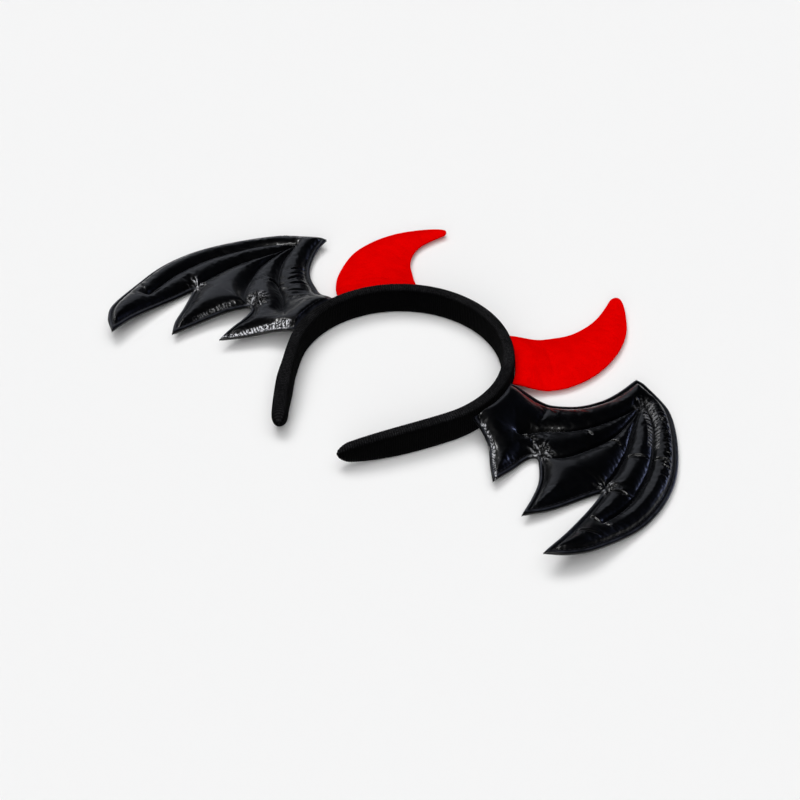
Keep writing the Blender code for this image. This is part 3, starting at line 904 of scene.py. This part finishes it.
# Rows of small gathers beside a seam: side, the seam as shares of the wing, then where they
# start from it, their height, spacing, how far they run in at each end, how crumpled they
# are, and how strong a white glint is painted on their crests.
LOBE_SEAM = (WING_OUTLINE["inner_arch"][-1],) + WING_OUTLINE["inner_lobe"] + ((0.010, 0.395),)
MIDDLE_SEAM = WING_OUTLINE["inner_arch"][:3]
LEADING_SEAM = WING_OUTLINE["leading_edge"][:2] + ((0.760, 0.850),)
OUTER_SEAM = WING_OUTLINE["leading_edge"][1:4]
CHANNEL_SEAM = (WING_FAN_POINT,) + WING_QUILTING["long_finger"][:2]
GATHERS = (
    ("left", LOBE_SEAM, 0.4 * MM, 0.80 * MM, 1.7 * MM, (1.5 * MM, 6.5 * MM), 0.55, 1.0),
    ("left", MIDDLE_SEAM, 2.4 * MM, 0.55 * MM, 2.0 * MM, (2.0 * MM, 3.6 * MM), 0.5, 0.12),
    ("left", LEADING_SEAM, 3.6 * MM, 0.40 * MM, 2.4 * MM, (3.0 * MM, 3.0 * MM), 0.4, 0.12),
    ("right", LOBE_SEAM, 1.4 * MM, 0.60 * MM, 1.8 * MM, (1.6 * MM, 2.6 * MM), 0.4, 0.75),
    ("right", CHANNEL_SEAM, 0.4 * MM, 0.60 * MM, 2.8 * MM, (4.0 * MM, 3.0 * MM), 0.25, 0.14),
    ("right", OUTER_SEAM, 3.0 * MM, 0.60 * MM, 3.0 * MM, (5.0 * MM, 5.0 * MM), 0.2, 0.0),
)
# Fans of folds round one point: side, place, height, folds, reach and how strong a white glint is
# painted on their crests.
FANS = (
    ("left", (0.713, 0.445), 1.6 * MM, 9, 7.5 * MM, 0.9),
    ("left", (0.338, 0.485), 1.8 * MM, 11, 9.0 * MM, 0.7),
    ("right", (0.350, 0.460), 1.7 * MM, 10, 9.0 * MM, 0.45),
    ("right", (0.722, 0.440), 1.5 * MM, 9, 7.5 * MM, 0.45),
    ("right", (0.555, 0.890), 1.0 * MM, 9, 8.0 * MM, 0.2),
)
# Creases across the padding: side, start, stop, depth, width.
CREASES = (
    ("left", (0.856, 0.264), (0.962, 0.312), 0.6 * MM, 1.2 * MM),
    ("left", (0.853, 0.272), (0.826, 0.332), 0.7 * MM, 1.2 * MM),
    ("left", (0.343, 0.657), (0.290, 0.745), 0.8 * MM, 1.2 * MM),
    ("left", (0.366, 0.690), (0.312, 0.772), 0.6 * MM, 1.0 * MM),
    ("left", (0.391, 0.724), (0.335, 0.800), 0.7 * MM, 1.1 * MM),
    ("left", (0.310, 0.640), (0.230, 0.710), 0.7 * MM, 1.3 * MM),
    ("left", (0.285, 0.600), (0.190, 0.660), 0.6 * MM, 1.2 * MM),
    ("left", (0.235, 0.564), (0.110, 0.620), 1.1 * MM, 1.8 * MM),
    ("left", (0.430, 0.623), (0.320, 0.640), 0.9 * MM, 1.5 * MM),
    ("right", (0.550, 0.665), (0.640, 0.648), 1.5 * MM, 1.0 * MM),
    ("right", (0.670, 0.612), (0.795, 0.655), 1.2 * MM, 1.0 * MM),
    ("right", (0.770, 0.655), (0.890, 0.685), 1.1 * MM, 1.0 * MM),
    ("right", (0.735, 0.430), (0.860, 0.440), 1.6 * MM, 1.1 * MM),
    ("right", (0.765, 0.262), (0.920, 0.263), 1.3 * MM, 1.1 * MM),
    ("right", (0.770, 0.145), (0.930, 0.205), 0.8 * MM, 1.2 * MM),
    ("right", (0.172, 0.491), (0.310, 0.500), 1.3 * MM, 1.2 * MM),
    ("right", (0.210, 0.535), (0.300, 0.465), 1.0 * MM, 1.2 * MM),
    ("right", (0.440, 0.650), (0.490, 0.640), 1.0 * MM, 1.0 * MM),
)
# How folds wander in place and in height, and how full their crests are.
WANDER_SHARES = (0.31, 0.53, 0.17)
WANDER = 0.9
HEIGHT_WANDER = 0.3
HEIGHT_SHARE = 0.23
CREST_POWER = 0.8
FOLD_RUN = 0.8 * WING_RIM
# Where folds grow and fade, as shares of their depth or turns of their spacing, then the
# height from which a white glint is painted on their crests and over how much it grows.
GATHER_FADE = (0.2, 0.25)
GATHER_ENDS = (2.0, 1.5)
GATHER_SLANT = 0.3
GATHER_GLINT_RISE = (0.02, 0.40)
FAN_EYE = 0.25
FAN_GLINT_RISE = (0.55, 0.35)
# How far a crease reaches in widths, and the share of its length over which it fades.
CREASE_REACH = 4.0
CREASE_CELLS = 2.5
CREASE_FADE = 0.35
CREASE_SHOULDER = 1.1
FAN_CRUMPLE = 0.3
FAN_SEED = 100
CRUMPLE_SIZE = 1.7 * MM
CRUMPLE_WAVES = 9
ANY_PHASE = (0.0, 6.28)
ROOT_RIM = 0.9 * MM
ROOT_STEEPNESS = 3.0
ROOT_SEAM = 2.6 * MM
VINYL_COLOUR = (0.0001, 0.0001, 0.0002, 1.0)
VINYL_WORN = (0.0006, 0.0007, 0.0011, 1.0)
VINYL_PAINTED_GLINT = (0.92, 0.93, 0.98, 1.0)
VINYL_RIM_HIGHLIGHT = (0.020, 0.022, 0.030, 1.0)
# How far in from the edge the painted highlight along the rolled rim starts and is full, then where
# it fades and has ended.
RIM_HIGHLIGHT_RUN = ((0.5 * MM, 1.0 * MM), (1.3 * MM, 1.8 * MM))
THREAD_COLOUR = (0.004, 0.004, 0.005, 1.0)
THREAD_WORN = (0.02, 0.02, 0.023, 1.0)
STITCH_PITCH = 2.6 * MM
STITCH_LENGTH = 2.0 * MM
STITCH_THICKNESS = 0.34 * MM
STITCH_LIFT = 0.1 * MM


def wing_place(side, out, up, shifted=True):
    """Plan point of a pair of shares of the wing, drawn on the right-hand side."""
    point = Vector((SEWN_RADIUS + out * WING_SPAN, up * WING_LENGTH - WING_DROP))
    if shifted:
        away = (point - wing_place(side, *WING_WAIST, False)).length
        point.y += side.waist_shift * float(ease(1.0 - away / WING_WAIST_RUN))
        plain = point.copy()
        for _, spot, shift, run in own_rows(side, PULLS):
            away = (plain - wing_place(side, *spot, False)).length
            point += Vector(shift) * float(ease(1.0 - away / run))
    return point


def wing_plan(side):
    """Closed outline of the wing, drawn on the right-hand side."""
    runs = [[wing_place(side, *pair) for pair in run] for run in WING_OUTLINE.values()]
    runs[-1].append(band_face(WING_ROOT_DEG[1]))
    start = band_face(WING_ROOT_DEG[0])
    outline = []
    for run in runs:
        outline += smooth_run([start] + run, WING_CELL)[:-1]
        start = run[-1]
    return outline + root_run(WING_ROOT_DEG, WING_CELL)[:-1]


def wing_quilting(side):
    """Stitched lines that fan out over the wing, drawn on the right-hand side."""
    lines = []
    for shares in WING_QUILTING.values():
        pairs = (WING_FAN_POINT,) + shares
        lines.append(smooth_run([wing_place(side, *pair) for pair in pairs], WING_CELL))
    return lines


def wing_middle(side, places):
    """Height of the middle of the padding above the surface."""

    def hump(spot, run):
        away = np.hypot(*(places - np.asarray(wing_place(side, *spot))).T)
        return ease(1.0 - away / run)

    towards_legs = ease(-places[:, 1] / WING_SINK_RUN[1])
    run = WING_SINK_RUN[0] + (WING_SINK_RUN[1] - WING_SINK_RUN[0]) * towards_legs
    sink = ease(1.0 - from_band(places) / run)
    middle = WING_LIE_HEIGHT + (WING_ROOT_SHARE * BAND_HEIGHT - WING_LIE_HEIGHT) * sink
    middle = middle + side.waist_lift * (1.0 - sink) * hump(WING_LIFT_PLACE, WING_LIFT_RUN)
    for run, lift, reach in WING_TIPS:
        middle = middle + lift * hump(WING_OUTLINE[run][-1], reach)
    tip = wing_place(side, *WING_LONG_TIP)
    start = wing_place(side, WING_CURL_START, 0.0)
    along = ease(1.0 - (places[:, 1] - tip.y) / WING_CURL_RUN)
    outer = ease((places[:, 0] - start.x) / (tip.x - start.x))
    return middle + side.finger_curl * along * outer


def uneven(seed, values, spacing):
    """Wave of about the given spacing whose phase and height wander, the same each run."""
    pick = np.random.default_rng(seed)
    phase = 2.0 * math.pi * values / spacing
    for share in WANDER_SHARES:
        start = pick.uniform(*ANY_PHASE)
        phase = phase + WANDER * np.sin(2.0 * math.pi * values * share / spacing + start)
    start = pick.uniform(*ANY_PHASE)
    swing = np.sin(2.0 * math.pi * values * HEIGHT_SHARE / spacing + start)
    wave = np.sin(phase)
    crests = np.sign(wave) * np.abs(wave) ** CREST_POWER
    return crests * (1.0 - HEIGHT_WANDER + HEIGHT_WANDER * swing)


def seam_line(side, seam):
    return smooth_run([wing_place(side, *pair) for pair in seam], WING_CELL)


def crumple(seed, places, size):
    """Sharp-edged random crinkles of about the given size, from -1 to 1."""
    pick = np.random.default_rng(seed)
    total = np.zeros(len(places))
    for _ in range(CRUMPLE_WAVES):
        heading = pick.uniform(0.0, 2.0 * math.pi)
        turns = 2.0 * math.pi / (size * pick.uniform(0.75, 1.6))
        along = places @ np.asarray((math.cos(heading), math.sin(heading)))
        total += np.sin(turns * along + pick.uniform(*ANY_PHASE))
    return 1.0 - np.minimum(2.0, np.abs(total) * 0.8)


def near_seam(side, places, seam, reach):
    """Indices of the places near a seam, their distances from it and along it, its length."""
    line = seam_line(side, seam)
    points = as_array(line)
    in_box = (places > points.min(axis=0) - reach) & (places < points.max(axis=0) + reach)
    here = np.flatnonzero(np.all(in_box, axis=1))
    away, along = nearest_on(places[here], line)
    return here, away, along, sum((b - a).length for a, b in zip(line, line[1:]))


def fade(along, length, first, last):
    """From 0 at both ends of a seam to 1, over the given runs."""
    return ease(along / first) * ease((length - along) / last)


def wrinkle(side, places, from_edge):
    """What the gathers, fans of folds and creases do to the upper skin.

    Gives the height they add and how strong a white glint is painted on their crests.
    """
    lift = np.zeros(len(places))
    painted_glint = np.zeros(len(places))
    for seed, spot, height, folds, reach, painted_light in own_rows(side, FANS):
        away = places - np.asarray(wing_place(side, *spot))
        radius = np.hypot(*away.T)
        turn = np.arctan2(away[:, 1], away[:, 0])
        window = ease(radius / (FAN_EYE * reach)) * ease(1.0 - radius / reach)
        rays = uneven(FAN_SEED + seed, turn / (2.0 * math.pi) * folds, 1.0)
        rays = rays + FAN_CRUMPLE * crumple(FAN_SEED + seed, places, CRUMPLE_SIZE)
        lift += height * window * rays
        # Painted glint on the crests of the fan's folds.
        painted_glint = np.maximum(painted_glint, painted_light * window * ease((rays - FAN_GLINT_RISE[0]) / FAN_GLINT_RISE[1]))
    for _, start, stop, depth, width in own_rows(side, CREASES):
        here, away, along, length = near_seam(side, places, (start, stop), CREASE_REACH * width)
        ends = fade(along, length, CREASE_FADE * length, CREASE_FADE * length)
        across = away / width
        lift[here] += depth * ends * (CREASE_SHOULDER * across**2 - 1.0) * np.exp(-(across**2))
    lift *= ease(from_edge / FOLD_RUN)
    for seed, seam, start, height, spacing, reaches, crumpled, painted_light in own_rows(side, GATHERS):
        here, away, along, length = near_seam(side, places, seam, start + max(reaches))
        depth = (away - start) / (reaches[0] + (reaches[1] - reaches[0]) * along / length)
        window = ease(depth / GATHER_FADE[0]) * ease((1.0 - depth) / GATHER_FADE[1])
        ends = fade(along, length, *(turns * spacing for turns in GATHER_ENDS))
        folds = (1.0 - crumpled) * uneven(seed, along + GATHER_SLANT * away, spacing)
        folds = folds + crumpled * crumple(seed, places[here], CRUMPLE_SIZE)
        lift[here] += height * ends * window * folds
        # Painted glint on the crests of the gathers.
        glint_share = painted_light * ends * window * ease((folds - GATHER_GLINT_RISE[0]) / GATHER_GLINT_RISE[1])
        painted_glint[here] = np.maximum(painted_glint[here], glint_share)
    return lift, painted_glint


def black_coated_fabric():
    """Glossy coated fabric: a fine grain under the gloss, with painted highlights: white glints on
    the crests of its folds and a faint line along its rolled rim.
    """
    material, tree = new_material("black_coated_fabric")
    grain = noise_field(tree, 1500.0, 2.0)
    crinkle = noise_field(tree, 260.0, 3.0)
    cloud = noise_field(tree, 40.0, 2.0)
    edge = read_attribute(tree, "from_edge")
    # Painted highlight: a faint pale line along the crest of the rolled rim.
    rim = times(
        tree,
        spread(tree, edge, *RIM_HIGHLIGHT_RUN[0], 0.0, 1.0),
        spread(tree, edge, *RIM_HIGHLIGHT_RUN[1], 1.0, 0.0),
        spread(tree, crinkle, 0.35, 0.6, 0.2, 1.0),
    )
    colour = blend_colour(tree, spread(tree, cloud, 0.35, 0.7, 0.0, 1.0), VINYL_COLOUR, VINYL_WORN)
    colour = blend_colour(tree, rim, colour, VINYL_RIM_HIGHLIGHT)
    height = calculate(tree, "ADD", crinkle, times(tree, grain, 0.12))
    inputs = {
        # Painted highlight: near-white glints on the crests of the folds.
        "Base Color": blend_colour(tree, read_attribute(tree, "painted_crest_glint"), colour, VINYL_PAINTED_GLINT),
        "Roughness": spread(tree, crinkle, 0.3, 0.7, 0.28, 0.38),
        "IOR": 1.5,
        "Specular IOR Level": 0.26,
        "Coat Weight": 0.24,
        "Coat Roughness": 0.08,
        "Sheen Weight": 0.07,
        "Sheen Roughness": 0.30,
        "Sheen Tint": (0.80, 0.87, 1.0, 1.0),
        "Normal": bump(tree, height, 0.5 * MM, 0.12),
    }
    return finish_material(material, inputs)


def stitch_tree():
    """Lays short round stitches along the edges of a mesh of lines."""
    tree, given = new_tree("stitches", ("Pitch", "Length", "Thickness"), "Thread")
    curve = node_output(tree, "GeometryNodeMeshToCurve", {"Mesh": given["Geometry"]})
    inputs = {"Curve": curve, "Length": given["Pitch"]}
    even = node_output(tree, "GeometryNodeResampleCurve", inputs, mode="LENGTH")
    inputs = {"Segments": 7, "Rings": 5, "Radius": 0.5}
    bead = node_output(tree, "GeometryNodeMeshUVSphere", inputs)
    inputs = {"X": given["Length"], "Y": given["Thickness"], "Z": given["Thickness"]}
    size = node_output(tree, "ShaderNodeCombineXYZ", inputs)
    inputs = {"Vector": node_output(tree, "GeometryNodeInputTangent")}
    turn = node_output(tree, "FunctionNodeAlignRotationToVector", inputs, axis="X")
    inputs = {"Points": even, "Instance": bead, "Rotation": turn, "Scale": size}
    laid = node_output(tree, "GeometryNodeInstanceOnPoints", inputs)
    finish_tree(tree, laid, given["Thread"])
    return tree


def black_thread():
    """Twisted polyester thread: a fine slanting twist in the bump."""
    material, tree = new_material("black_thread")
    twist = noise_field(tree, 3000.0, 1.0, (1.0, 1.0, 0.4))
    inputs = {
        "Base Color": blend_colour(tree, twist, THREAD_COLOUR, THREAD_WORN),
        "Roughness": spread(tree, twist, 0.3, 0.7, 0.4, 0.6),
        "Normal": bump(tree, twist, 0.1 * MM, 0.5),
    }
    return finish_material(material, inputs)


def thread_lines(name, lines):
    """Object of loose edges that the stitches follow."""
    mesh = bpy.data.meshes.new(name)
    points = []
    edges = []
    for line in lines:
        edges += [(len(points) + i, len(points) + i + 1) for i in range(len(line) - 1)]
        points += [tuple(point) for point in line]
    mesh.from_pydata(points, edges, [])
    return put(name, mesh)


def rim_lines(outline, rim):
    """Runs of points a rim's width inside the outline, broken where the edge is too near."""
    rows = beside(outline, rim, True)
    inner = [Vector(place) for place in rows[0::2]]
    if not inside(as_array(inner), outline)[len(inner) // 2]:
        inner = [Vector(place) for place in rows[1::2]]
    places = as_array(inner)
    clear = distance_to_lines(places, [outline + [outline[0]]])
    runs = [[]]
    for point, away, from_face in zip(inner, clear, from_band(places)):
        if away > 0.97 * rim and from_face > 2.0 * rim:
            runs[-1].append(point)
        elif runs[-1]:
            runs.append([])
    return [run for run in runs if len(run) > 3]


def laid_on(skin, line):
    """The line's points dropped onto the upper skin, just above it."""
    laid = []
    for point in line:
        above = Vector((point.x, point.y, 100.0 * MM))
        place = skin.ray_cast(above, Vector((0.0, 0.0, -1.0)))[0]
        if place is not None:
            laid.append(place + Vector((0.0, 0.0, STITCH_LIFT)))
    return laid


vinyl = black_coated_fabric()
thread = black_thread()
stitches = stitch_tree()
for side in SIDES:
    outline = wing_plan(side)
    quilting = wing_quilting(side)
    gathered = [
        (seam_line(side, seam), start + max(reaches))
        for _, seam, start, _, _, reaches, _, _ in own_rows(side, GATHERS)
    ]
    for _, spot, _, _, reach, _ in own_rows(side, FANS):
        gathered.append(([wing_place(side, *spot)] * 2, reach))
    for _, start, stop, _, width in own_rows(side, CREASES):
        gathered.append((seam_line(side, (start, stop)), CREASE_CELLS * width))
    corners = [wing_place(side, *run[-1]) for run in list(WING_OUTLINE.values())[:-1]]
    pad = cut_pad(outline, quilting, WING_RIM_ROWS, WING_CELL, gathered, GATHER_CELL)
    root = root_run(WING_ROOT_DEG, WING_CELL)
    free_edge = outline[: len(outline) - len(root) + 2]
    from_root = distance_to_lines(pad.places, [root])
    from_free = distance_to_lines(pad.places, [free_edge])
    clear = np.minimum(from_free - WING_RIM, ROOT_STEEPNESS * (from_root - ROOT_RIM))
    clear = np.maximum(0.0, np.minimum(clear, pad.from_quilt))
    middle = wing_middle(side, pad.places)
    roll = WING_ROLL * np.sin(math.pi * np.clip(from_free / WING_RIM, 0.0, 1.0))
    half = WING_EDGE / 2.0 + roll + WING_PUFF * swell(clear / WING_PUFF_RUN)
    held = (from_free < 1.02 * WING_RIM) | (from_root < ROOT_RIM) | (pad.from_quilt < ON_LINE)
    underside = np.maximum(middle - half, 0.0)
    wing = sew_pad(f"wing_pad_{side.name}", pad, middle + half, underside, held, corners)
    points = press_and_smooth(wing, WING_FILLING)
    upper = read_values(wing.data.vertices, "normal", 3)[:, 2] > 0.0
    from_edge = read_values(wing.data.attributes["from_edge"].data, "value")[:, 0]
    lift, painted_glint = wrinkle(side, points[:, :2], from_edge)
    points[upper, 2] += lift[upper]
    # The share of painted glint goes on the upper skin's crests.
    crests = wing.data.attributes.new("painted_crest_glint", "FLOAT", "POINT")
    crests.data.foreach_set("value", np.where(upper, painted_glint, 0.0))
    points[:, 2] = np.maximum(points[:, 2], LEAST_HEIGHT)
    write_points(wing.data, points)

    skin = BVHTree.FromObject(wing, bpy.context.evaluated_depsgraph_get())
    seams = [line[2:] for line in quilting] + rim_lines(outline, WING_RIM)
    seams.append([point + point.normalized() * ROOT_SEAM for point in root[2:-2]])
    sewing = thread_lines(f"wing_stitching_{side.name}", [laid_on(skin, line) for line in seams])
    sizes = {"Pitch": STITCH_PITCH, "Length": STITCH_LENGTH, "Thickness": STITCH_THICKNESS}
    run_tree(sewing, stitches, {**sizes, "Thread": thread})
    place_on_side(sewing, side)
    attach(sewing, "root")
    place_on_side(wing, side)
    wing.data.materials.append(vinyl)
    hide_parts(f"wing_{side.name}")
    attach(wing, "root")
